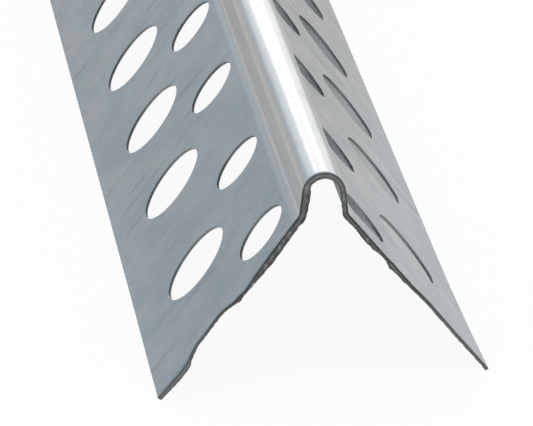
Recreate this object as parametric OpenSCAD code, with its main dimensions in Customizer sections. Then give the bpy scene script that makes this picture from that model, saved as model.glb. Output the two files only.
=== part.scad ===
// Drywall corner bead: one strip of galvanised steel sheet, rolled to two perforated flanges
// that meet in a raised round nose. It lies nose up on its two free edges, with its length along Y.
// The origin is at the middle of the floor under it, and the sheared end is at -Y.

/* [Stock] */
// Length of the piece
length = 2438.4; // [300:0.1:3050]
// Thickness of the galvanised sheet
sheet = 0.4; // [0.3:0.05:1.2]

/* [Flanges] */
// Width of each flange, from its crease to its free edge
flange_width = 29.6; // [25:0.1:45]
// Angle between the two flanges
flange_angle = 75.8; // [60:0.1:100]

/* [Nose] */
// Width of the nose between its two creases, outside
nose_width = 6.3; // [5:0.1:9]
// Outside radius of the round top of the nose
nose_radius = 2.8; // [1.5:0.1:3]
// Height of the nose above its creases
nose_height = 5.7; // [4:0.1:9]
// Radius of the bend at each crease, outside
crease_radius = 1; // [0.5:0.1:3]

/* [Holes] */
// Distance between neighbouring holes of one row
hole_pitch = 25.4; // [18:0.1:40]
// Diameter of the holes near the free edge
outer_hole_d = 11.4; // [5:0.1:16]
// Diameter of the holes near the nose
inner_hole_d = 8.5; // [4:0.1:8.8]
// Distance from the left crease to the centres of its flange's outer row
left_outer_row = 17.7; // [15:0.1:21]
// Distance from the left crease to the centres of its flange's inner row
left_inner_row = 6.4; // [4.8:0.1:8]
// Distance from the right crease to the centres of its flange's outer row
right_outer_row = 17.4; // [15:0.1:21]
// Distance from the right crease to the centres of its flange's inner row
right_inner_row = 4.8; // [4.8:0.1:8]
// Distance from the sheared end to the left flange's first hole centre
left_first_hole = 9.7; // [9.6:0.1:30]
// Distance from the sheared end to the right flange's first hole centre
right_first_hole = 10.6; // [9.6:0.1:30]
// Holes of each row that the press punches at one stroke
stroke_holes = 12; // [2:1:40]
// Holes left at the sheared end from the stroke that the cut went through
cut_stroke_holes = 3; // [0:1:10]
// Extra distance between the last hole of one stroke and the first of the next
stroke_gap = 3.8; // [0:0.1:12]
// Least metal left between a hole and the square end
end_metal = 3; // [1:0.5:50]

/* [Sheared end] */
// Set-back of the nose, where the cut runs out of square
nose_bite = 2; // [0.2:0.1:4]
// Deepest set-back of the left flange
left_bite = 2.4; // [0.2:0.1:5]
// Deepest set-back of the right flange
right_bite = 4.8; // [0.2:0.1:5]

/* [Hidden] */

// Largest angle that one straight side of a bend spans
bend_step = 4;
// How far a cutter reaches past the metal that it cuts
overrun = 1;

half_angle = flange_angle / 2;
half_nose = nose_width / 2;
half_pitch = hole_pitch / 2;

// Height of the creases over the floor, where the inner corners of the free edges rest
crease_z = flange_width * cos(half_angle) + sheet * sin(half_angle);

// Centre of the round top, and the slope of the walls that run from it to the creases
nose_z = crease_z + nose_height - nose_radius;
nose_reach = norm([half_nose, nose_z - crease_z]);
wall_slope = atan2(half_nose, nose_z - crease_z) - asin(nose_radius / nose_reach);

// Centre of the bend at the right-hand crease: it touches the wall and the flange
bend_centre = [half_nose, crease_z]
    + crease_radius / cos((half_angle - wall_slope) / 2)
    * [cos((half_angle + wall_slope) / 2), sin((half_angle + wall_slope) / 2)];

// Free edge of the right flange, outside
free_edge = [half_nose, crease_z] + flange_width * [sin(half_angle), -cos(half_angle)];

// Outlines of the sheared end: distance down the flange as a share of its width, and set-back
// as a share of the flange's bite. They follow on from the nose and end past the free edge.
left_cut = [[0.1, 0.75], [0.2, 0.62], [0.3, 0.42], [0.385, 0.12], [0.44, 0.33], [0.47, 0.41],
    [0.53, 0.9], [0.57, 1], [0.65, 0.88], [0.72, 0.81], [0.745, 0.69], [0.795, 0.12], [0.83, 0],
    [0.87, 0.02], [1.02, 0.2]];
right_cut = [[0.19, 0.44], [0.28, 0.45], [0.32, 0.61], [0.345, 0.54], [0.45, 0.57], [0.53, 0.8],
    [0.58, 0.9], [0.7, 0.89], [0.76, 0.86], [0.83, 0.92], [0.92, 0.98], [1.02, 1]];

// How far the nose's cut reaches past each crease
crease_overlap = 2 * sheet;

// Points of an arc from one angle to another
function arc(centre, radius, from, to) =
    let (steps = ceil(abs(to - from) / bend_step))
    [for (i = [0 : steps])
        let (a = from + (to - from) * i / steps)
        centre + radius * [cos(a), sin(a)]];

// Right half of one face of the sheet, from the top of the nose to the free edge.
// depth is 0 for the outer face and the sheet's thickness for the inner one.
function half_face(depth) = concat(
    arc([0, nose_z], nose_radius - depth, 90, wall_slope),
    arc(bend_centre, -crease_radius - depth, wall_slope, half_angle),
    [free_edge - depth * [cos(half_angle), sin(half_angle)]]);

function mirrored(points) = [for (i = [len(points) - 1 : -1 : 1]) [-points[i].x, points[i].y]];
function reversed(points) = [for (i = [len(points) - 1 : -1 : 0]) points[i]];
function face(depth) = concat(mirrored(half_face(depth)), half_face(depth));

// Holes stand in one staggered line of stations, the even ones in the inner row.
// Each new stroke of the press starts a little further on.
function inner(k) = k % 2 == 0;
function hole_d(k) = inner(k) ? inner_hole_d : outer_hole_d;
function strokes(k) = floor((k - cut_stroke_holes) / (2 * stroke_holes)) + 1;
function row(k, right) = inner(k) ? (right ? right_inner_row : left_inner_row)
    : (right ? right_outer_row : left_outer_row);
function first_hole(right) = right ? right_first_hole : left_first_hole;
function station(k, right) = first_hole(right) + k * half_pitch + strokes(k) * stroke_gap;
function fits(k, right) = station(k, right) + hole_d(k) / 2 + end_metal <= length;

// Places things on a flange's outer face: x runs down from the crease, y from the sheared end, z outwards
module on_flange(right) {
    mirror([right ? 0 : 1, 0, 0])
        translate([half_nose, -length / 2, crease_z])
            rotate([0, 90 - half_angle, 0])
                children();
}

module rolled_strip() {
    rotate([90, 0, 0])
        linear_extrude(height = length, center = true)
            polygon(concat(face(0), reversed(face(sheet))));
}

module holes(right) {
    for (k = [0 : floor(length / half_pitch)])
        if (fits(k, right))
            translate([row(k, right), station(k, right), -sheet / 2])
                cylinder(d = hole_d(k), h = sheet + 2 * overrun, center = true, $fn = 48);
}

// Cut across the nose, square to its length
module nose_cut() {
    translate([-half_nose - crease_overlap, -length / 2 - overrun, crease_z - overrun])
        cube([nose_width + 2 * crease_overlap, nose_bite + overrun, nose_height + 2 * overrun]);
}

module ragged_cut(outline, bite) {
    edge = [for (p = outline) [p.x * flange_width, p.y * bite]];
    front = [[edge[len(edge) - 1].x, -overrun], [0, -overrun]];
    crease = [[0, nose_bite], [crease_overlap / sin(half_angle), nose_bite]];
    translate([0, 0, -sheet / 2])
        linear_extrude(height = sheet + 2 * overrun, center = true)
            polygon(concat(crease, edge, front));
}

module corner_bead() {
    color("lightsteelblue")
        difference() {
            rolled_strip();
            nose_cut();
            for (right = [false, true])
                on_flange(right) {
                    holes(right);
                    ragged_cut(right ? right_cut : left_cut, right ? right_bite : left_bite);
                }
        }
}

corner_bead();
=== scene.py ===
"""Dresses the drywall corner bead: punched, rolled and sheared from one strip of galvanised sheet."""

import logging
import math
from dataclasses import dataclass, field
from enum import Enum
from typing import Any

import bpy
from mathutils import Matrix, Vector


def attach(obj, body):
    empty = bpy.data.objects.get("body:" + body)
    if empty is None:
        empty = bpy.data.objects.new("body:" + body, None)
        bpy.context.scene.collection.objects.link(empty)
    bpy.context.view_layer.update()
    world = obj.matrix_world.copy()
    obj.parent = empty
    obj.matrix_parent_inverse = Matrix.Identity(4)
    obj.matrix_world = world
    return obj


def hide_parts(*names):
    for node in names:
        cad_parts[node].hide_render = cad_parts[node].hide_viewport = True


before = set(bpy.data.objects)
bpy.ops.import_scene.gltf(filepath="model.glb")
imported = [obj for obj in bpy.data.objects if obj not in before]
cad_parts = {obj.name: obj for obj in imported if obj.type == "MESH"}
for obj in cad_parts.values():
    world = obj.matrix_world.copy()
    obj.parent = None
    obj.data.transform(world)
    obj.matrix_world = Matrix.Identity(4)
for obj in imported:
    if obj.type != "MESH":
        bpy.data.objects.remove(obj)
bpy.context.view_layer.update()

Tree = bpy.types.NodeTree
Socket = bpy.types.NodeSocket
Material = bpy.types.Material

LOG = logging.getLogger("corner_bead")
MM = 0.001
SHEET_MAP = "sheet_map"  # place on the flat strip: across, along, depth, in metres
SHEARED = "sheared"
INWARD = "inward"
CUT_FACE = "cut_face"
SIDE_FACE = "side_face"
FLAT_PANEL = "flat_panel"
HOLE_RADIUS = "hole_radius"
# What the strip's mesh stores while it is made, and as what kind of value
STORED = {
    SHEARED: "FLOAT",
    INWARD: "FLOAT_VECTOR",
    CUT_FACE: "BOOLEAN",
    SIDE_FACE: "BOOLEAN",
    FLAT_PANEL: "BOOLEAN",
    HOLE_RADIUS: "FLOAT",
}
NEARLY_ALL = 0.9  # share of a face's points that counts as the whole face


class Lane(Enum):
    """The two rows of holes in a flange."""

    INNER = "Inner"
    OUTER = "Outer"


class Side(Enum):
    """The two flanges, seen from the sheared end."""

    LEFT = "Left"
    RIGHT = "Right"


@dataclass
class Flange:
    """What one flange has of its own. Sizes in millimetres."""

    row: dict[Lane, float]
    first_hole: float
    bite: float
    spread: float
    cut: tuple[tuple[float, float], ...]


class Wire:
    """A number on a node tree's wire, with plain arithmetic."""

    def __init__(self, tree: Tree, socket: Socket) -> None:
        """Keeps the wire's tree and the socket that it starts from."""
        self.tree = tree
        self.socket = socket

    def calc(self, operation: str, *others: Any) -> "Wire":
        """Adds one Math node to the wire.

        Args:
            operation: Blender's name for the sum.
            others: the second and third numbers, where the sum has them.

        Returns:
            The wire that carries the answer.
        """
        inputs = dict(enumerate((self, *others)))
        node = add_node(self.tree, "ShaderNodeMath", inputs, operation=operation)
        return Wire(self.tree, node.outputs[0])

    def __add__(self, other: Any) -> "Wire":
        """This number plus another."""
        return self.calc("ADD", other)

    def __sub__(self, other: Any) -> "Wire":
        """This number less another."""
        return self.calc("SUBTRACT", other)

    def __mul__(self, other: Any) -> "Wire":
        """This number times another."""
        return self.calc("MULTIPLY", other)

    def __truediv__(self, other: Any) -> "Wire":
        """This number over another."""
        return self.calc("DIVIDE", other)

    def within(self, low: Any, high: Any) -> "Wire":
        """This number, kept between two others."""
        return self.calc("MAXIMUM", low).calc("MINIMUM", high)

    def ramp(self, start: float, slope: float) -> "Wire":
        """A number that is 0 up to the start, and then rises by the slope to 1."""
        return ((self - start) * slope).within(0.0, 1.0)

    def flipped(self) -> "Wire":
        """One less this number."""
        return self * -1.0 + 1.0


def add_node(
    tree: Tree, kind: str, inputs: dict[Any, Any] | None = None, **settings: Any
) -> bpy.types.Node:
    """Adds one node, sets it up and joins its inputs.

    Args:
        tree: the node tree that gets the node.
        kind: Blender's name for the node.
        inputs: values, sockets or wires by the input's name or place. A list joins several.
        settings: the node's own options.

    Returns:
        The new node.
    """
    node = tree.nodes.new(kind)
    for name, value in settings.items():
        setattr(node, name, value)
    for key, value in (inputs or {}).items():
        if isinstance(key, int):
            socket = node.inputs[key]
        else:
            socket = next(s for s in node.inputs if s.name == key and s.enabled)
        for one in value if isinstance(value, list) else [value]:
            one = one.socket if isinstance(one, Wire) else one
            if isinstance(one, Socket):
                tree.links.new(one, socket)
            else:
                socket.default_value = one
    return node


def out(node: bpy.types.Node, name: str = "") -> Socket:
    """The node's first live output, or the live one of that name."""
    return next(s for s in node.outputs if s.enabled and name in ("", s.name))


def linear(hex_colour: str) -> tuple[float, float, float, float]:
    """Turns an sRGB hex colour to linear light.

    Args:
        hex_colour: six hex digits after a hash.

    Returns:
        Red, green, blue and alpha.
    """
    parts = [int(hex_colour[i : i + 2], 16) / 255 for i in (1, 3, 5)]
    r, g, b = [c / 12.92 if c <= 0.04045 else ((c + 0.055) / 1.055) ** 2.4 for c in parts]
    return (r, g, b, 1.0)


def paint(tree: Tree, base: str, coats: tuple[tuple[Wire, str], ...]) -> Socket:
    """Lays coats of colour over a base colour.

    Args:
        tree: the material's node tree.
        base: the base colour.
        coats: how much of each coat shows, and its colour, first coat first.

    Returns:
        The colour that shows.
    """
    colour: Any = linear(base)
    for share, coat in coats:
        inputs = {"Factor": share, "A": colour, "B": linear(coat)}
        colour = out(add_node(tree, "ShaderNodeMix", inputs, data_type="RGBA"))
    return colour


@dataclass(frozen=True)
class Pattern:
    """A noise pattern in a finish: its grain across, along and up, and how much of it shows."""

    grain_mm: tuple[float, float, float]
    detail: float
    roughness: float = 0.5
    starts_over: float = 0.5
    contrast: float = 1.0
    strength: float = 1.0

    def noise(self, tree: Tree, place_mm: Socket) -> Wire:
        """Lays the bare pattern.

        Args:
            tree: the material's node tree.
            place_mm: place on the piece, in millimetres.

        Returns:
            The pattern, from 0 to 1 and about a half on the whole.
        """
        grains = add_node(tree, "ShaderNodeVectorMath", {0: place_mm, 1: self.grain_mm}, operation="DIVIDE")
        inputs = {"Vector": out(grains), "Scale": 1.0, "Detail": self.detail, "Roughness": self.roughness}
        return Wire(tree, out(add_node(tree, "ShaderNodeTexNoise", inputs)))

    def mark(self, noise: Wire) -> Wire:
        """What shows of the pattern, from 0 to its strength."""
        return noise.ramp(self.starts_over, self.contrast) * self.strength


def bare_material(name: str) -> tuple[Material, Tree]:
    """Starts a material.

    Args:
        name: the finish's name.

    Returns:
        The new material, and its empty node tree.
    """
    material = bpy.data.materials.new(name)
    material.use_nodes = True
    material.node_tree.nodes.clear()
    return material, material.node_tree


@dataclass(frozen=True)
class GalvanisedSheet:
    """Hot-dip galvanised steel sheet, skin-passed and roll-formed.

    The zinc gives a cool, half-dull metal with soft cloudy patches. The forming rolls burnish the nose a
    little brighter and leave fine lines along its walls, and handling leaves faint scuffs on the flanges.
    """

    name: str = "galvanised_sheet_rolled"
    zinc: str = "#959ca0"
    clouded_zinc: str = "#87959c"
    burnished_zinc: str = "#aeb3b5"
    line_dark: str = "#6f7577"
    clouds: Pattern = Pattern((7.0, 7.0, 7.0), 3.0, 0.7, starts_over=0.4, contrast=5.0)
    lines: Pattern = Pattern((0.6, 70.0, 0.6), 2.0, starts_over=0.52, contrast=6.0, strength=0.28)
    scuffs: Pattern = Pattern((9.0, 1.6, 9.0), 0.5, starts_over=0.58, contrast=4.0, strength=0.38)
    worn_patches: Pattern = Pattern((26.0, 26.0, 26.0), 1.0, starts_over=0.47, contrast=6.0)
    # Where the round top and the walls of the nose end, and how fast one passes into the next
    round_mm: float = 2.0
    wall_mm: float = 3.6
    blend_per_mm: float = 2.0
    nose_burnish: float = 0.8
    # Roughness on the whole, and what clouds, scuffs and the rolls add to it or take away
    roughness: float = 0.25
    cloud_roughness: float = 0.12
    scuff_roughness: float = 0.5
    wall_polish: float = 0.03
    relief_mm: float = 0.05
    relief_strength: float = 0.25
    line_relief: float = 0.1

    def make(self) -> Material:
        """Builds the material.

        Returns:
            The finished material.
        """
        material, tree = bare_material(self.name)
        place = add_node(tree, "ShaderNodeTexCoord")
        real = add_node(
            tree, "ShaderNodeVectorMath", {0: out(place, "Object"), "Scale": 1 / MM}, operation="SCALE"
        )
        parts = add_node(tree, "ShaderNodeSeparateXYZ", {0: out(real)})
        off_middle = Wire(tree, parts.outputs[0]).calc("ABSOLUTE")
        patterns = (self.clouds, self.lines, self.scuffs, self.worn_patches)
        cloud, line, scuff, patch = (pattern.noise(tree, out(real)) for pattern in patterns)

        on_flange = off_middle.ramp(self.wall_mm, self.blend_per_mm)
        on_wall = off_middle.ramp(self.round_mm, self.blend_per_mm) * on_flange.flipped()
        line_mark = self.lines.mark(line) * on_wall
        scuff_mark = self.scuffs.mark(scuff) * on_flange * self.worn_patches.mark(patch)
        coats = (
            (self.clouds.mark(cloud), self.clouded_zinc),
            (on_flange.flipped() * self.nose_burnish, self.burnished_zinc),
            (line_mark + scuff_mark, self.line_dark),
        )
        colour = paint(tree, self.zinc, coats)
        rough = (cloud - 0.5) * self.cloud_roughness + self.roughness
        rough = rough + scuff_mark * self.scuff_roughness - on_wall * self.wall_polish
        height = cloud * on_flange + line * on_wall * self.line_relief
        relief = {"Height": height, "Strength": self.relief_strength, "Distance": self.relief_mm * MM}
        bump = add_node(tree, "ShaderNodeBump", relief)
        metal = {"Base Color": colour, "Metallic": 1.0, "Roughness": rough, "Normal": out(bump)}
        shader = add_node(tree, "ShaderNodeBsdfPrincipled", metal)
        add_node(tree, "ShaderNodeOutputMaterial", {"Surface": out(shader)})
        return material


@dataclass(frozen=True)
class ShearedSteel:
    """Bare steel where the sheet was punched, slit or sheared.

    The torn face is dull and blotched, with painted shade darkening its outer edge. The shears left it paler
    on the nose and cleaner towards the free edges, and the walls of the holes are painted paler.
    """

    name: str = "steel_sheared_edge"
    light: str = "#a6a5a2"
    dark: str = "#3b3c3b"
    hole_wall_pale: str = "#d2d3d2"
    roughness: float = 0.5
    tear: Pattern = Pattern((0.8, 0.8, 0.8), 4.0, 0.65, starts_over=0.42, contrast=4.0)
    tear_relief_mm: float = 0.1
    tear_strength: float = 0.6
    # Where the nose's paler face ends, where the cleaner face starts, and how far in the cut reaches
    nose_reach_mm: float = 5.0
    clean_from_mm: float = 20.0
    cut_reach_mm: float = 5.2
    # Least tone of the face from dark to light: at first, on the nose, added at the edges, in the holes
    least_tone: float = 0.33
    nose_tone: float = 0.55
    nose_tone_per_mm: float = 0.5
    clean_tone: float = 0.32
    clean_tone_per_mm: float = 0.04
    punched_tone: float = 0.7
    # Palest blotches, as a share of the least tone and what is added to it
    pale_share: float = 0.5
    pale_tone: float = 0.68
    # Painted shade: a dark line along the outer edge of the torn face
    edge_shade_mm: float = 0.1
    edge_shade_fade_per_mm: float = 5.0
    edge_shade_share: float = 0.7

    def make(self) -> Material:
        """Builds the material.

        Returns:
            The finished material.
        """
        material, tree = bare_material(self.name)
        place = add_node(tree, "ShaderNodeAttribute", attribute_name=SHEET_MAP)
        flat = add_node(
            tree, "ShaderNodeVectorMath", {0: out(place, "Vector"), "Scale": 1 / MM}, operation="SCALE"
        )
        parts = add_node(tree, "ShaderNodeSeparateXYZ", {0: out(flat)})
        across, along, depth = (Wire(tree, socket) for socket in parts.outputs)
        off_middle = across.calc("ABSOLUTE")
        tear = self.tear.noise(tree, out(flat))

        punched = along.calc("GREATER_THAN", self.cut_reach_mm)
        to_nose_end = off_middle * -1.0 + self.nose_reach_mm
        least = (to_nose_end * self.nose_tone_per_mm).within(self.least_tone, self.nose_tone)
        past_ragged = off_middle - self.clean_from_mm
        least = least + (past_ragged * self.clean_tone_per_mm).within(0.0, self.clean_tone)
        # the walls of the holes are painted paler
        least = least.calc("MAXIMUM", punched * self.punched_tone)
        blotch = self.tear.mark(tear).within(least, least * self.pale_share + self.pale_tone)
        # painted shade along the outer edge of the torn face
        past_edge_shade = (depth - self.edge_shade_mm) * self.edge_shade_fade_per_mm
        tone = past_edge_shade.within(least * self.edge_shade_share, 1.0) * blotch
        colour = paint(tree, self.light, ((punched, self.hole_wall_pale), (tone.flipped(), self.dark)))
        relief = {"Height": tear, "Strength": self.tear_strength, "Distance": self.tear_relief_mm * MM}
        bump = add_node(tree, "ShaderNodeBump", relief)
        metal = {"Base Color": colour, "Metallic": 1.0, "Roughness": self.roughness, "Normal": out(bump)}
        shader = add_node(tree, "ShaderNodeBsdfPrincipled", metal)
        add_node(tree, "ShaderNodeOutputMaterial", {"Surface": out(shader)})
        return material


@dataclass
class CornerBead:
    """The corner bead, as a flat strip that is punched, sheared and rolled. Sizes in millimetres."""

    length: float = 2438.4
    sheet: float = 0.4
    flange_width: float = 29.6
    flange_angle: float = 75.8
    nose_width: float = 6.3
    nose_radius: float = 2.8
    nose_height: float = 5.7
    crease_radius: float = 1.0
    hole_pitch: float = 25.4
    hole_d: dict[Lane, float] = field(default_factory=lambda: {Lane.INNER: 8.5, Lane.OUTER: 11.4})
    stroke_holes: int = 12
    cut_stroke_holes: int = 3
    stroke_gap: float = 3.8
    end_metal: float = 3.0
    nose_bite: float = 2.0
    # Each cut: share of the flange's width, share of the flange's bite
    flanges: dict[Side, Flange] = field(
        default_factory=lambda: {
            Side.LEFT: Flange(
                row={Lane.INNER: 6.4, Lane.OUTER: 17.7},
                first_hole=9.7,
                bite=2.4,
                spread=0.1,
                cut=(
                    (0.1, 0.75), (0.2, 0.62), (0.3, 0.42), (0.385, 0.12), (0.44, 0.33), (0.47, 0.41),
                    (0.53, 0.9), (0.57, 1.0), (0.65, 0.88), (0.72, 0.81), (0.745, 0.69), (0.795, 0.12),
                    (0.83, 0.0), (0.87, 0.02), (1.0, 0.18),
                ),
            ),
            Side.RIGHT: Flange(
                row={Lane.INNER: 4.8, Lane.OUTER: 17.4},
                first_hole=10.6,
                bite=4.8,
                spread=0.72,
                cut=(
                    (0.19, 0.44), (0.28, 0.45), (0.32, 0.61), (0.345, 0.54), (0.45, 0.57), (0.53, 0.8),
                    (0.58, 0.9), (0.7, 0.89), (0.76, 0.86), (0.83, 0.92), (0.92, 0.98), (1.0, 1.0),
                ),
            ),
        }
    )
    # How far in from the cut the shears spread the flanges, and the mesh's rows there
    spread_reach: float = 45.0
    spread_power: float = 2.0
    spread_row: float = 6.0
    spread_rows: int = 8
    # Burr that the shears pushed inwards, by distance across the strip from the top of the nose
    burr: tuple[tuple[float, float], ...] = (
        (-37, 0.12), (-33, 0.28), (-31.9, 0.23), (-31, 0.28), (-30.4, 0.08), (-29.2, 0.06), (-28.3, 0.02),
        (-27.4, 0), (-22, 0), (-21.2, 0.05), (-20.3, 0.2), (-19.6, 0.02), (-18.5, 0), (-17.7, 0.12),
        (-16.5, 0.3), (-14, 0.45), (-12.3, 0.46), (-10.6, 0.4), (-8, 0.42), (-6.9, 0.5), (-6, 0.6),
        (-3.6, 0.66), (-3.1, 0.42), (-2.5, 0.35), (0, 0.34), (2.5, 0.35), (5, 0.37), (7, 0.4), (9, 0.25),
        (12, 0.33), (13.2, 0.26), (14.1, 0.1), (15, 0), (15.6, 0.05), (16.7, 0.42), (17.7, 0.2),
        (19.4, 0.2), (20.5, 0.08), (37, 0.05),
    )
    burr_forward: float = 0.8
    # Fine tear: length, detail and depth of the cut line's notches, and of the dents in its face
    notch_length: float = 0.9
    notch_detail: float = 3.0
    notch_depth: float = 0.28
    dent_length: float = 0.6
    dent_detail: float = 2.0
    dent_along: float = 0.25
    dent_inwards: float = 0.22
    # Rolled rim of holes and slit edges, and how much of it the sheared edge has
    rim_radius: float = 0.05
    sheared_rim: float = 0.3
    # The mesh: the weld's reach, the strip with fine rows at the cut, its columns, and the holes' sides
    weld: float = 0.01
    end_strip: float = 5.2
    end_row_power: float = 1.3
    half_columns: int = 150
    end_rows: int = 5
    near_holes: int = 14
    near_hole_sides: int = 64
    far_hole_sides: int = 24
    # The tree while it is made: its sizes, a point's place and its parts, and what the mesh stores
    tree: Tree = field(init=False, repr=False)
    size: dict[str, Wire] = field(init=False, repr=False)
    place: Socket = field(init=False, repr=False)
    here: list[Wire] = field(init=False, repr=False)
    stored: dict[str, Socket] = field(init=False, repr=False)

    @property
    def half_angle(self) -> float:
        """Half of the angle between the flanges, in radians."""
        return math.radians(self.flange_angle / 2)

    @property
    def crease_z(self) -> float:
        """Height of the creases over the floor."""
        return self.flange_width * math.cos(self.half_angle) + self.sheet * math.sin(self.half_angle)

    @property
    def nose_z(self) -> float:
        """Height of the centre of the round top."""
        return self.crease_z + self.nose_height - self.nose_radius

    @property
    def nose_reach(self) -> float:
        """Distance from a crease to the centre of the round top."""
        return math.hypot(self.nose_width / 2, self.nose_z - self.crease_z)

    @property
    def wall_slope(self) -> float:
        """Slope of the nose's walls, in radians from upright."""
        lean = math.atan2(self.nose_width / 2, self.nose_z - self.crease_z)
        return lean - math.asin(self.nose_radius / self.nose_reach)

    @property
    def crease_setback(self) -> float:
        """Distance from a crease's corner to where its bend ends."""
        return self.crease_radius * math.tan((self.half_angle - self.wall_slope) / 2)

    @property
    def round_run(self) -> float:
        """Sheet in half of the round top."""
        return self.nose_radius * (math.pi / 2 - self.wall_slope)

    @property
    def wall_run(self) -> float:
        """Sheet in one wall of the nose."""
        return math.sqrt(self.nose_reach**2 - self.nose_radius**2) - self.crease_setback

    @property
    def bend_run(self) -> float:
        """Sheet in one crease."""
        return self.crease_radius * (self.half_angle - self.wall_slope)

    @property
    def flat_start(self) -> float:
        """Distance across the strip from the top of the nose to the flat of a flange."""
        return self.round_run + self.wall_run + self.bend_run

    @property
    def half_width(self) -> float:
        """Half of the flat strip's width."""
        return self.flat_start + self.flange_width - self.crease_setback

    @property
    def column(self) -> float:
        """Width of one column of the mesh."""
        return self.half_width / self.half_columns

    @property
    def nose_columns(self) -> int:
        """Columns from the top of the nose to the first that is wholly on the flange."""
        return math.ceil(self.flat_start / self.column)

    def across(self, down_flange: float) -> float:
        """Distance across the strip of a point so far down a flange from its crease."""
        return self.flat_start - self.crease_setback + down_flange

    def hole_count(self, flange: Flange) -> int:
        """Counts the holes that fit in one flange.

        Args:
            flange: the flange that is punched.

        Returns:
            The number of stations, inner and outer together.
        """
        count = 0
        while True:
            stroke = math.floor((count - self.cut_stroke_holes) / (2 * self.stroke_holes)) + 1
            lane = Lane.OUTER if count % 2 else Lane.INNER
            place = flange.first_hole + count * self.hole_pitch / 2 + stroke * self.stroke_gap
            if place + self.hole_d[lane] / 2 + self.end_metal > self.length:
                return count
            count += 1

    def build(self, sheet: Material, edge: Material) -> bpy.types.Object:
        """Makes the piece as a plain mesh.

        Args:
            sheet: finish of the rolled faces.
            edge: finish of the punched, slit and sheared faces.

        Returns:
            The dressed object, at the origin.
        """
        tree, sizes = self.make_tree(sheet, edge)
        holder = bpy.data.objects.new("galvanised_bead", bpy.data.meshes.new("flat_strip"))
        bpy.context.scene.collection.objects.link(holder)
        modifier = holder.modifiers.new("punch_and_roll", "NODES")
        modifier.node_group = tree
        for identifier, value in sizes.items():
            modifier[identifier] = value
        graph = bpy.context.evaluated_depsgraph_get()
        mesh = bpy.data.meshes.new_from_object(
            holder.evaluated_get(graph), preserve_all_data_layers=True, depsgraph=graph
        )
        holder.modifiers.remove(modifier)
        holder.data = mesh
        mesh.name = "rolled_bead"
        while mesh.materials[0] is None:
            mesh.materials.pop(index=0)
        mesh.validate()
        return holder

    def make_tree(self, sheet: Material, edge: Material) -> tuple[Tree, dict[str, float]]:
        """Builds the tree that punches, thickens, shears and rolls the strip.

        Args:
            sheet: finish of the rolled faces.
            edge: finish of the punched, slit and sheared faces.

        Returns:
            The tree, and each input's value by the socket's identifier.
        """
        tree = bpy.data.node_groups.new("punched_and_rolled_strip", "GeometryNodeTree")
        tree.interface.new_socket("Geometry", in_out="OUTPUT", socket_type="NodeSocketGeometry")
        in_mm = {
            "Length": self.length,
            "Sheet": self.sheet,
            "Half Width": self.half_width,
            "Flat Start": self.flat_start,
            "Flange Width": self.flange_width,
            "Crease Setback": self.crease_setback,
            "Nose Centre Height": self.nose_z,
            "Nose Radius": self.nose_radius,
            "Crease Radius": self.crease_radius,
            "Wall Run": self.wall_run,
            "Hole Pitch": self.hole_pitch,
            "Stroke Gap": self.stroke_gap,
            "End Strip": self.end_strip,
            "Rim Radius": self.rim_radius,
            "Spread Reach": self.spread_reach,
        }
        for lane, diameter in self.hole_d.items():
            in_mm[f"{lane.value} Hole Radius"] = diameter / 2
        for side, flange in self.flanges.items():
            in_mm[f"{side.value} First Hole"] = flange.first_hole
            in_mm[f"{side.value} Bite"] = flange.bite
            in_mm[f"{side.value} Spread"] = flange.spread
            for lane, down in flange.row.items():
                in_mm[f"{side.value} {lane.value} Row"] = self.across(down)
        named = {name: value * MM for name, value in in_mm.items()}
        named |= {"Wall Slope": self.wall_slope, "Half Angle": self.half_angle}
        sizes = {}
        for name, value in named.items():
            socket = tree.interface.new_socket(name, in_out="INPUT", socket_type="NodeSocketFloat")
            sizes[socket.identifier] = value
        inlet = add_node(tree, "NodeGroupInput")
        self.tree = tree
        self.size = {name: Wire(tree, inlet.outputs[name]) for name in named}
        self.place = out(add_node(tree, "GeometryNodeInputPosition"))
        parts = add_node(tree, "ShaderNodeSeparateXYZ", {0: self.place})
        self.here = [Wire(tree, socket) for socket in parts.outputs]
        self.stored = {}
        for name, kind in STORED.items():
            reader = add_node(tree, "GeometryNodeInputNamedAttribute", {"Name": name}, data_type=kind)
            self.stored[name] = out(reader)

        stations = {side: self.stations(side) for side in Side}
        solid = self.thicken(self.blank(stations), stations)
        rolled = self.roll(self.shear(solid))

        panel_not_side = {0: self.stored[FLAT_PANEL], 1: self.stored[SIDE_FACE]}
        flat_faces = add_node(tree, "FunctionNodeBooleanMath", panel_not_side, operation="NIMPLY")
        smooth = add_node(tree, "GeometryNodeSetShadeSmooth", {"Geometry": rolled, "Shade Smooth": True})
        shaded = add_node(
            tree,
            "GeometryNodeSetShadeSmooth",
            {"Geometry": out(smooth), "Selection": out(flat_faces), "Shade Smooth": False},
        )
        real = add_node(tree, "GeometryNodeRealizeInstances", {"Geometry": out(shaded)})
        coated = add_node(tree, "GeometryNodeSetMaterial", {"Geometry": out(real), "Material": sheet})
        dressed = add_node(
            tree,
            "GeometryNodeSetMaterial",
            {"Geometry": out(coated), "Selection": self.stored[CUT_FACE], "Material": edge},
        )
        add_node(tree, "NodeGroupOutput", {0: out(dressed)})
        return tree, sizes

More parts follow.
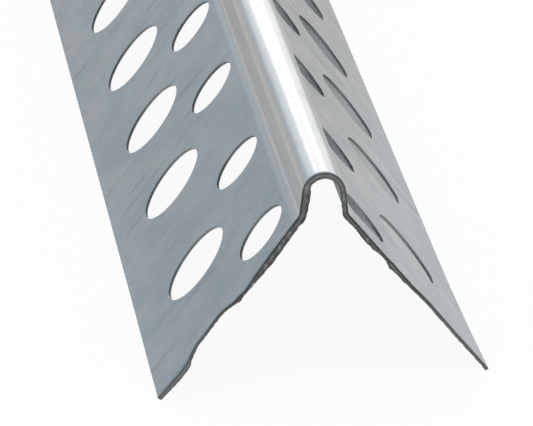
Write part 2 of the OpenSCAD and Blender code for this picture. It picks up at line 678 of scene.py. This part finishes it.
    def stations(self, side: Side) -> Socket:
        """Sets out the hole centres of one flange, by the strokes of the press.

        Args:
            side: the flange that is punched.

        Returns:
            The points, each with its hole's radius, all as on a right flange.
        """
        tree, size = self.tree, self.size
        row = add_node(tree, "GeometryNodeMeshLine", {"Count": self.hole_count(self.flanges[side])})
        index = Wire(tree, out(add_node(tree, "GeometryNodeInputIndex")))
        outer = index.calc("MODULO", 2.0)
        stroke = ((index - self.cut_stroke_holes) / (2 * self.stroke_holes)).calc("FLOOR") + 1.0
        first = size[f"{side.value} First Hole"]
        along = first + index * size["Hole Pitch"] * 0.5 + stroke * size["Stroke Gap"]
        inner_row, outer_row = (size[f"{side.value} {lane.value} Row"] for lane in Lane)
        inner_hole, outer_hole = (size[f"{lane.value} Hole Radius"] for lane in Lane)
        across = inner_row + (outer_row - inner_row) * outer
        radius = inner_hole + (outer_hole - inner_hole) * outer
        centre = add_node(tree, "ShaderNodeCombineXYZ", {"X": across, "Y": along})
        placed = add_node(tree, "GeometryNodeSetPosition", {"Geometry": out(row), "Position": out(centre)})
        sized = {"Geometry": out(placed), "Name": HOLE_RADIUS, "Value": radius}
        return out(add_node(tree, "GeometryNodeStoreNamedAttribute", sized, data_type="FLOAT"))

    def blank(self, stations: dict[Side, Socket]) -> Socket:
        """Lays out the flat strip: the sheared end, the nose and the two punched flanges.

        Args:
            stations: the hole centres of each flange.

        Returns:
            The welded flat mesh, x across the strip and y from the sheared end.
        """
        tree, size, here = self.tree, self.size, self.here
        corners = {"Vertices X": 2 * self.half_columns + 1, "Vertices Y": self.end_rows}
        width = size["Half Width"] * 2.0
        end = add_node(tree, "GeometryNodeMeshGrid", {"Size X": width, "Size Y": 1.0, **corners})
        row = here[1] + 0.5
        first_row = row.calc("LESS_THAN", 0.5 / self.end_rows)
        flags = {"Geometry": out(end, "Mesh"), "Name": SHEARED, "Value": first_row}
        flagged = add_node(tree, "GeometryNodeStoreNamedAttribute", flags, data_type="FLOAT")
        cut = self.cut_line()
        along = cut + (size["End Strip"] - cut) * row.calc("POWER", self.end_row_power)
        place = out(add_node(tree, "ShaderNodeCombineXYZ", {"X": here[0], "Y": along}))
        cut_end = add_node(tree, "GeometryNodeSetPosition", {"Geometry": out(flagged), "Position": place})

        seam = self.nose_columns * self.column * MM
        nose = self.lay_rows(2 * seam, 2 * self.nose_columns, 0.0)
        panel_columns = self.half_columns - self.nose_columns
        panel = self.lay_rows(size["Half Width"] - seam, panel_columns, (size["Half Width"] + seam) * 0.5)
        outline = add_node(tree, "GeometryNodeMeshToCurve", {"Mesh": panel, "Selection": self.open_edge()})
        right = self.punch(out(outline), stations[Side.RIGHT])
        left = self.mirrored(self.punch(out(outline), stations[Side.LEFT]))
        left = add_node(tree, "GeometryNodeFlipFaces", {"Mesh": left})
        panels = add_node(tree, "GeometryNodeJoinGeometry", {"Geometry": [right, out(left)]})
        panels = add_node(
            tree,
            "GeometryNodeStoreNamedAttribute",
            {"Geometry": out(panels), "Name": FLAT_PANEL, "Value": True},
            data_type="BOOLEAN",
            domain="FACE",
        )
        parts = [out(cut_end), nose, out(panels)]
        whole = add_node(tree, "GeometryNodeJoinGeometry", {"Geometry": parts})
        welded = {"Geometry": out(whole), "Distance": self.weld * MM}
        return out(add_node(tree, "GeometryNodeMergeByDistance", welded))

    def lay_rows(self, width: Any, columns: int, middle: Any) -> Socket:
        """Lays a grid on the strip, with close rows where the shears spread it and one long row after them.

        Args:
            width: the grid's width.
            columns: how many columns it has.
            middle: place across the strip of the grid's middle.

        Returns:
            The grid in its place.
        """
        tree, size, here = self.tree, self.size, self.here
        run = size["Length"] - size["End Strip"]
        corners = {"Vertices X": columns + 1, "Vertices Y": self.spread_rows + 2}
        grid = add_node(tree, "GeometryNodeMeshGrid", {"Size X": width, "Size Y": run, **corners})
        row = (here[1] / run + 0.5) * (self.spread_rows + 1.0)
        last = row.calc("GREATER_THAN", self.spread_rows + 0.5)
        along = row * (self.spread_row * MM) * last.flipped() + run * last + size["End Strip"]
        place = out(add_node(tree, "ShaderNodeCombineXYZ", {"X": here[0] + middle, "Y": along}))
        laid = add_node(tree, "GeometryNodeSetPosition", {"Geometry": out(grid, "Mesh"), "Position": place})
        return out(laid)

    def mirrored(self, shape: Socket) -> Socket:
        """The shape on the other side of the strip's middle line."""
        across = {"Geometry": shape, "Scale": (-1.0, 1.0, 1.0)}
        return out(add_node(self.tree, "GeometryNodeTransform", across))

    def open_edge(self) -> Socket:
        """The choice of edges that have a face on one side only."""
        faces = {"A": out(add_node(self.tree, "GeometryNodeInputMeshEdgeNeighbors")), "B": 1}
        return out(add_node(self.tree, "FunctionNodeCompare", faces, data_type="INT", operation="EQUAL"))

    def punch(self, outline: Socket, stations: Socket) -> Socket:
        """Fills a flange's outline, less its holes.

        Args:
            outline: the flange's closed outline.
            stations: the hole centres.

        Returns:
            The flat punched panel.
        """
        tree = self.tree
        index = Wire(tree, out(add_node(tree, "GeometryNodeInputIndex")))
        near = index.calc("LESS_THAN", self.near_holes)
        curves = [outline]
        for chosen, sides in ((near, self.near_hole_sides), (near.flipped(), self.far_hole_sides)):
            ring = add_node(tree, "GeometryNodeCurvePrimitiveCircle", {"Resolution": sides, "Radius": 1.0})
            holes = {"Points": stations, "Selection": chosen, "Scale": self.stored[HOLE_RADIUS]}
            rings = add_node(tree, "GeometryNodeInstanceOnPoints", {"Instance": out(ring), **holes})
            curves.append(out(add_node(tree, "GeometryNodeRealizeInstances", {"Geometry": out(rings)})))
        together = add_node(tree, "GeometryNodeJoinGeometry", {"Geometry": curves})
        return out(add_node(tree, "GeometryNodeFillCurve", {"Curve": out(together)}))

    def cut_line(self) -> Wire:
        """Finds the sheared end's set-back at a place across the strip.

        Returns:
            The set-back, with a fine tear in it.
        """
        tree, size, here = self.tree, self.size, self.here
        down = here[0].calc("ABSOLUTE") - size["Flat Start"] + size["Crease Setback"]
        share = (down / size["Flange Width"]).within(0.0, 1.0)
        right = here[0].calc("GREATER_THAN", 0.0)
        on_side = {Side.LEFT: right.flipped(), Side.RIGHT: right}
        bites = []
        for side, flange in self.flanges.items():
            at_crease = self.nose_bite / flange.bite
            past_crease = 2 * self.sheet / self.flange_width
            line = ((0.0, at_crease), (past_crease, at_crease), *flange.cut)
            bites.append(self.follow(line, share) * on_side[side] * size[f"{side.value} Bite"])
        notches = {"W": here[0] / (self.notch_length * MM), "Scale": 1.0, "Detail": self.notch_detail}
        tear = Wire(tree, out(add_node(tree, "ShaderNodeTexNoise", notches, noise_dimensions="1D")))
        return bites[0] + bites[1] + (tear - 0.5) * (self.notch_depth * MM)

    def follow(self, outline: tuple[tuple[float, float], ...], share: Wire) -> Wire:
        """Reads a bent line of points.

        Args:
            outline: the line's points, both parts from 0 to 1.
            share: where to read it.

        Returns:
            The line's height there.
        """
        node = add_node(self.tree, "ShaderNodeFloatCurve", {"Value": share})
        points = node.mapping.curves[0].points
        while len(points) < len(outline):
            points.new(0.5, 0.5)
        for point, (at, height) in zip(points, outline):
            point.location = (at, height)
            point.handle_type = "VECTOR"
        node.mapping.update()
        return Wire(self.tree, out(node))

    def thicken(self, blank: Socket, stations: dict[Side, Socket]) -> Socket:
        """Gives the strip its thickness, with the rolled rim that punch and shears leave outside.

        Args:
            blank: the flat strip.
            stations: the hole centres of each flange.

        Returns:
            The closed strip, outer face at height 0.
        """
        tree, size, here, place = self.tree, self.size, self.here, self.place
        both = [stations[Side.RIGHT], self.mirrored(stations[Side.LEFT])]
        centres = add_node(tree, "GeometryNodeJoinGeometry", {"Geometry": both})
        nearest = add_node(tree, "GeometryNodeSampleNearest", {"Geometry": out(centres)})
        of_nearest = []
        for value, kind in ((place, "FLOAT_VECTOR"), (self.stored[HOLE_RADIUS], "FLOAT")):
            inputs = {"Geometry": out(centres), "Value": value, "Index": out(nearest)}
            of_nearest.append(out(add_node(tree, "GeometryNodeSampleIndex", inputs, data_type=kind)))
        centre, reach = of_nearest
        spoke = add_node(tree, "ShaderNodeVectorMath", {0: place, 1: centre}, operation="SUBTRACT")
        away = add_node(tree, "ShaderNodeVectorMath", {0: out(spoke)}, operation="LENGTH")
        outwards = add_node(tree, "ShaderNodeVectorMath", {0: out(spoke)}, operation="NORMALIZE")
        weld = self.weld * MM
        sheared = Wire(tree, self.stored[SHEARED])
        on_hole = (Wire(tree, out(away)) - reach).calc("LESS_THAN", 2 * weld)
        on_side = (size["Half Width"] - here[0].calc("ABSOLUTE")).calc("LESS_THAN", weld)
        at_far_end = (size["Length"] - here[1]).calc("LESS_THAN", weld)
        off_edge = {"X": on_side * here[0].calc("SIGN") * -1.0, "Y": sheared - at_far_end}
        square = add_node(tree, "ShaderNodeCombineXYZ", off_edge)
        either = {"Factor": on_hole, "A": out(square), "B": out(outwards)}
        inward = add_node(tree, "ShaderNodeMix", either, data_type="VECTOR")
        rim = add_node(
            tree,
            "GeometryNodeStoreNamedAttribute",
            {"Geometry": blank, "Selection": self.open_edge(), "Name": INWARD, "Value": out(inward)},
            data_type="FLOAT_VECTOR",
        )
        down = out(add_node(tree, "ShaderNodeCombineXYZ", {"Z": size["Sheet"] * -1.0}))
        lowered = add_node(tree, "GeometryNodeSetPosition", {"Geometry": out(rim), "Offset": down})
        under = add_node(tree, "GeometryNodeFlipFaces", {"Mesh": out(lowered)})
        rim_step = 1 - math.sqrt(0.5)
        steps = (
            size["Sheet"] - size["Rim Radius"],
            size["Rim Radius"] * (1 - rim_step),
            size["Rim Radius"] * rim_step,
        )
        mesh, top = out(lowered), True
        for torn, step in zip((1.0, 0.0, 0.0), steps):
            upwards = {"Offset": (0.0, 0.0, 1.0), "Offset Scale": step, "Individual": False}
            faces = {"Mesh": mesh, "Selection": top, **upwards}
            raised = add_node(tree, "GeometryNodeExtrudeMesh", faces, mode="FACES")
            mesh, top = out(raised, "Mesh"), out(raised, "Top")
            cut_face = (sheared + torn).calc("GREATER_THAN", NEARLY_ALL)
            for name, value in ((CUT_FACE, cut_face), (SIDE_FACE, True)):
                marked = add_node(
                    tree,
                    "GeometryNodeStoreNamedAttribute",
                    {"Geometry": mesh, "Selection": out(raised, "Side"), "Name": name, "Value": value},
                    data_type="BOOLEAN",
                    domain="FACE",
                )
                mesh = out(marked)
        rise = (here[2] + size["Rim Radius"]).within(0.0, size["Rim Radius"])
        square_of = size["Rim Radius"] * size["Rim Radius"] - rise * rise
        roll_off = size["Rim Radius"] - square_of.calc("MAXIMUM", 0.0).calc("SQRT")
        inwards = {0: self.stored[INWARD], "Scale": roll_off * (sheared * (self.sheared_rim - 1) + 1.0)}
        pull = add_node(tree, "ShaderNodeVectorMath", inwards, operation="SCALE")
        rolled_rim = add_node(tree, "GeometryNodeSetPosition", {"Geometry": mesh, "Offset": out(pull)})
        whole = add_node(tree, "GeometryNodeJoinGeometry", {"Geometry": [out(under), out(rolled_rim)]})
        welded = {"Geometry": out(whole), "Distance": weld / 2}
        return out(add_node(tree, "GeometryNodeMergeByDistance", welded))

    def shear(self, solid: Socket) -> Socket:
        """Tears the cut face, and pushes its burr inwards and forwards.

        Args:
            solid: the thickened strip.

        Returns:
            The strip with its sheared end, and each point's place on the strip stored.
        """
        tree, size, here = self.tree, self.size, self.here
        depth = (here[2] / size["Sheet"] * -1.0).within(0.0, 1.0)
        sheared = Wire(tree, self.stored[SHEARED])
        share = (here[0] / size["Half Width"] * 0.5 + 0.5).within(0.0, 1.0)
        half = self.half_width
        line = tuple((min(max(at / half / 2 + 0.5, 0), 1), deep) for at, deep in self.burr)
        burr = self.follow(line, share) * MM
        dents = {"Vector": self.place, "Scale": 1 / (self.dent_length * MM), "Detail": self.dent_detail}
        rough = Wire(tree, out(add_node(tree, "ShaderNodeTexNoise", dents))) - 0.5
        push = add_node(
            tree,
            "ShaderNodeCombineXYZ",
            {
                "Y": sheared * (depth * burr * -self.burr_forward + rough * (self.dent_along * MM)),
                "Z": sheared * (depth * burr * -1.0 + rough * depth * (self.dent_inwards * MM)),
            },
        )
        torn = add_node(tree, "GeometryNodeSetPosition", {"Geometry": solid, "Offset": out(push)})
        on_strip = add_node(tree, "ShaderNodeCombineXYZ", {"X": here[0], "Y": here[1], "Z": here[2] * -1.0})
        mapped = {"Geometry": out(torn), "Name": SHEET_MAP, "Value": out(on_strip)}
        return out(add_node(tree, "GeometryNodeStoreNamedAttribute", mapped, data_type="FLOAT_VECTOR"))

    def roll(self, strip: Socket) -> Socket:
        """Rolls the strip to its section: round top, two walls, two creases and two flat flanges.

        Args:
            strip: the flat strip.

        Returns:
            The rolled piece, where the CAD node is.
        """
        tree, size, here = self.tree, self.size, self.here
        slope, angle = size["Wall Slope"], size["Half Angle"]
        round_run = size["Nose Radius"] * (slope * -1.0 + math.pi / 2)
        off_top = here[0].calc("ABSOLUTE")
        on_round = off_top.calc("MINIMUM", round_run)
        on_wall = (off_top - round_run).within(0.0, size["Wall Run"])
        bend_run = size["Crease Radius"] * (angle - slope)
        on_bend = (off_top - round_run - size["Wall Run"]).within(0.0, bend_run)
        on_flat = (off_top - size["Flat Start"]).calc("MAXIMUM", 0.0)
        top = on_round / size["Nose Radius"] * -1.0 + math.pi / 2
        turn = on_bend / size["Crease Radius"] + slope
        tilt = top + turn - slope
        depth = here[2] * -1.0
        out_from_middle = (
            size["Nose Radius"] * top.calc("COSINE")
            + on_wall * slope.calc("SINE")
            + size["Crease Radius"] * (slope.calc("COSINE") - turn.calc("COSINE"))
            + on_flat * angle.calc("SINE")
            - depth * tilt.calc("COSINE")
        )
        height = (
            size["Nose Centre Height"]
            + size["Nose Radius"] * top.calc("SINE")
            - on_wall * slope.calc("COSINE")
            + size["Crease Radius"] * (slope.calc("SINE") - turn.calc("SINE"))
            - on_flat * angle.calc("COSINE")
            - depth * tilt.calc("SINE")
        )
        right = here[0].calc("GREATER_THAN", 0.0)
        spread = size["Left Spread"] + (size["Right Spread"] - size["Left Spread"]) * right
        near_cut = (here[1] / size["Spread Reach"]).flipped().within(0.0, 1.0)
        spread = spread * near_cut.calc("POWER", self.spread_power)
        out_from_middle = out_from_middle + spread * on_flat / size["Flange Width"]
        rolled_to = add_node(
            tree,
            "ShaderNodeCombineXYZ",
            {
                "X": out_from_middle * here[0].calc("SIGN"),
                "Y": here[1] - size["Length"] * 0.5,
                "Z": height.calc("MAXIMUM", 0.0),
            },
        )
        return out(add_node(tree, "GeometryNodeSetPosition", {"Geometry": strip, "Position": out(rolled_to)}))


@dataclass(frozen=True)
class SoftBox:
    """One soft lamp. Sizes in metres."""

    name: str
    at: tuple[float, float, float]
    size: tuple[float, float]
    watts: float
    colour: str


@dataclass(frozen=True)
class OwnShade:
    """The bead's shade on the board under it, which the board's white would wash out. Sizes in metres.

    Under the right flange it starts a little way in from the sheared end, where the open end's light stops,
    and reaches from under the inner row of holes to the flange's foot. The holes there show it.
    """

    sheared_end: float = -1.2192
    length: float = 2.43
    # Where it starts to the right of the middle: at the sheared end, its shift further in, and its least
    start_at_end: float = 0.0230
    start_shift: float = -0.18
    least_start: float = 0.0112
    # From here inwards its least start is nearer the middle
    deep_in: float = 0.082
    deep_start: float = 0.0095
    foot: float = 0.0208
    soft_edge: float = 0.001
    strength: float = 0.40
    strength_rise: float = 3.5
    most_strength: float = 0.9
    # Under the inner row of holes it is deeper
    inner_row_to: float = 0.0145
    inner_row_from: float = 0.048
    inner_row_fade: float = 0.004
    inner_row_strength: float = 0.97
    under_nose: float = 0.006

    def over(self, across: Wire, inside: Wire) -> Wire:
        """Finds how dark the shade is at a place on the board.

        Args:
            across: distance to the right of the bead's middle.
            inside: distance in from the sheared end.

        Returns:
            The shade, from 0 to 1.
        """
        least = inside.calc("GREATER_THAN", self.deep_in) * (self.deep_start - self.least_start)
        start = (inside * self.start_shift + self.start_at_end).calc("MAXIMUM", least + self.least_start)
        spread = (across - start).ramp(0.0, 1 / self.soft_edge) * across.calc("LESS_THAN", self.foot)
        inner = ((inside - self.inner_row_from) / self.inner_row_fade).within(0.0, self.inner_row_strength)
        inner = inner * across.calc("LESS_THAN", self.inner_row_to)
        strength = (inside * self.strength_rise + self.strength).calc("MINIMUM", self.most_strength)
        return spread * strength.calc("MAXIMUM", inner) * inside.calc("LESS_THAN", self.length)

    def under(self, across: Wire, inside: Wire) -> Wire:
        """Marks the board below the nose, in painted shade for mirrored rays only: 1 there, and 0 elsewhere.
        """
        covered = inside.calc("GREATER_THAN", 0.0) * inside.calc("LESS_THAN", self.length)
        return covered * across.calc("ABSOLUTE").calc("LESS_THAN", self.under_nose)


@dataclass
class Studio:
    """Pale floor, soft light and the camera of the photo. Sizes in metres."""

    floor_size: float = 120.0
    floor_white: str = "#f4f4f4"
    # Share of the white that hides the floor's own shading, and its strength in reflections
    floor_glow: float = 0.93
    mirrored_glow: float = 0.87
    # White of the board near the sheared end, and further in, where reflections show it warmer
    near_board: str = "#ffffff"
    far_board: str = "#f8f2ee"
    far_board_from: float = 0.07
    far_board_to: float = 0.15
    shade: OwnShade = OwnShade()
    world_colour: str = "#ebf4fb"
    world_strength: float = 0.9
    image_width: int = 533
    sensor_mm: float = 36.0
    focal_px: float = 5360.2
    camera_reach: float = 100.0
    camera_at: tuple[float, float, float] = (-0.08663, -1.84131, 0.27001)
    camera_look: tuple[float, float, float] = (0.11744, 0.92400, -0.36391)
    camera_right: tuple[float, float, float] = (0.99207, -0.12567, 0.00109)
    lamps: tuple[SoftBox, ...] = (
        SoftBox("back_soft_box", (0.24, 4.8, 1.35), (2.42, 2.7), 43.5, "#ffefe5"),
        SoftBox("back_right_soft_box", (2.1, 4.8, 1.35), (1.3, 2.7), 11.6, "#fff0e6"),
        SoftBox("side_soft_box", (-1.5, 4.6, 1.6), (2.0, 1.8), 8.5, "#f4eee8"),
    )
    aim_at: tuple[float, float, float] = (0.0, -1.2, 0.0)

    def build(self) -> None:
        """Makes the floor, the world, the lamps and the camera."""
        bpy.context.scene.view_settings.view_transform = "Standard"
        self.lay_floor()
        self.light()
        self.set_camera()

    def lay_floor(self) -> None:
        """Lays the floor, white to the eye and in reflections, with the object's soft shadow."""
        half = self.floor_size / 2
        mesh = bpy.data.meshes.new("pale_floor")
        corners = [(-half, -half, 0), (half, -half, 0), (half, half, 0), (-half, half, 0)]
        mesh.from_pydata(corners, [], [(0, 1, 2, 3)])
        floor = bpy.data.objects.new("pale_floor", mesh)
        bpy.context.scene.collection.objects.link(floor)
        material, tree = bare_material("matt_white_board")
        path = add_node(tree, "ShaderNodeLightPath")
        rays = ("Is Camera Ray", "Is Glossy Ray", "Is Transmission Ray")
        direct, mirrored, through = (Wire(tree, out(path, ray)) for ray in rays)
        place = add_node(tree, "ShaderNodeTexCoord")
        parts = add_node(tree, "ShaderNodeSeparateXYZ", {0: out(place, "Object")})
        across, along = (Wire(tree, socket) for socket in parts.outputs[:2])
        inside = along - self.shade.sheared_end
        seen = (direct + mirrored + through).within(0.0, 1.0) * self.shade.over(across, inside).flipped()
        # painted shade in reflections: the board below the nose is dark to mirrored rays
        seen = seen * (self.shade.under(across, inside) * mirrored).flipped()
        matt = add_node(tree, "ShaderNodeBsdfDiffuse", {"Color": linear(self.floor_white)})
        far = inside.ramp(self.far_board_from, 1 / (self.far_board_to - self.far_board_from))
        tint = paint(tree, self.near_board, ((far * mirrored, self.far_board),))
        strength = mirrored * (self.mirrored_glow - 1.0) + 1.0
        glow = add_node(tree, "ShaderNodeEmission", {"Color": tint, "Strength": strength})
        both = {0: seen * self.floor_glow, 1: out(matt), 2: out(glow)}
        mixed = add_node(tree, "ShaderNodeMixShader", both)
        add_node(tree, "ShaderNodeOutputMaterial", {"Surface": out(mixed)})
        mesh.materials.append(material)

    def light(self) -> None:
        """Lights the scene from all round, with soft boxes behind."""
        world = bpy.data.worlds.new("soft_studio")
        world.use_nodes = True
        tree = world.node_tree
        tree.nodes.clear()
        even_light = {"Color": linear(self.world_colour), "Strength": self.world_strength}
        sky = add_node(tree, "ShaderNodeBackground", even_light)
        add_node(tree, "ShaderNodeOutputWorld", {"Surface": out(sky)})
        bpy.context.scene.world = world
        for box in self.lamps:
            lamp = bpy.data.lights.new(box.name, "AREA")
            lamp.shape = "RECTANGLE"
            lamp.size, lamp.size_y = box.size
            lamp.energy = box.watts
            lamp.color = linear(box.colour)[:3]
            holder = bpy.data.objects.new(box.name, lamp)
            holder.visible_camera = False
            holder.location = box.at
            aim = Vector(self.aim_at) - holder.location
            holder.rotation_euler = aim.to_track_quat("-Z", "Y").to_euler()
            bpy.context.scene.collection.objects.link(holder)

    def set_camera(self) -> None:
        """Sets the camera where the photo was taken from."""
        data = bpy.data.cameras.new("photo_camera")
        data.sensor_width = self.sensor_mm
        data.sensor_fit = "HORIZONTAL"
        data.lens = self.focal_px * self.sensor_mm / self.image_width
        data.clip_end = self.camera_reach
        camera = bpy.data.objects.new("photo_camera", data)
        look, right = Vector(self.camera_look).normalized(), Vector(self.camera_right)
        up = right.cross(look).normalized()
        turn = Matrix((look.cross(up), up, -look)).transposed()
        camera.matrix_world = Matrix.Translation(self.camera_at) @ turn.to_4x4()
        bpy.context.scene.collection.objects.link(camera)
        bpy.context.scene.camera = camera


def main() -> None:
    """Builds the bead and the studio."""
    logging.basicConfig(level=logging.INFO, format="%(message)s")
    bead = CornerBead()
    piece = bead.build(GalvanisedSheet().make(), ShearedSteel().make())
    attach(piece, "root")
    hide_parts("corner_bead")
    piece.data.calc_loop_triangles()
    LOG.info("%s: %d triangles", piece.name, len(piece.data.loop_triangles))
    Studio().build()
    LOG.info("studio: floor, soft light and camera")


if __name__ == "__main__":
    main()
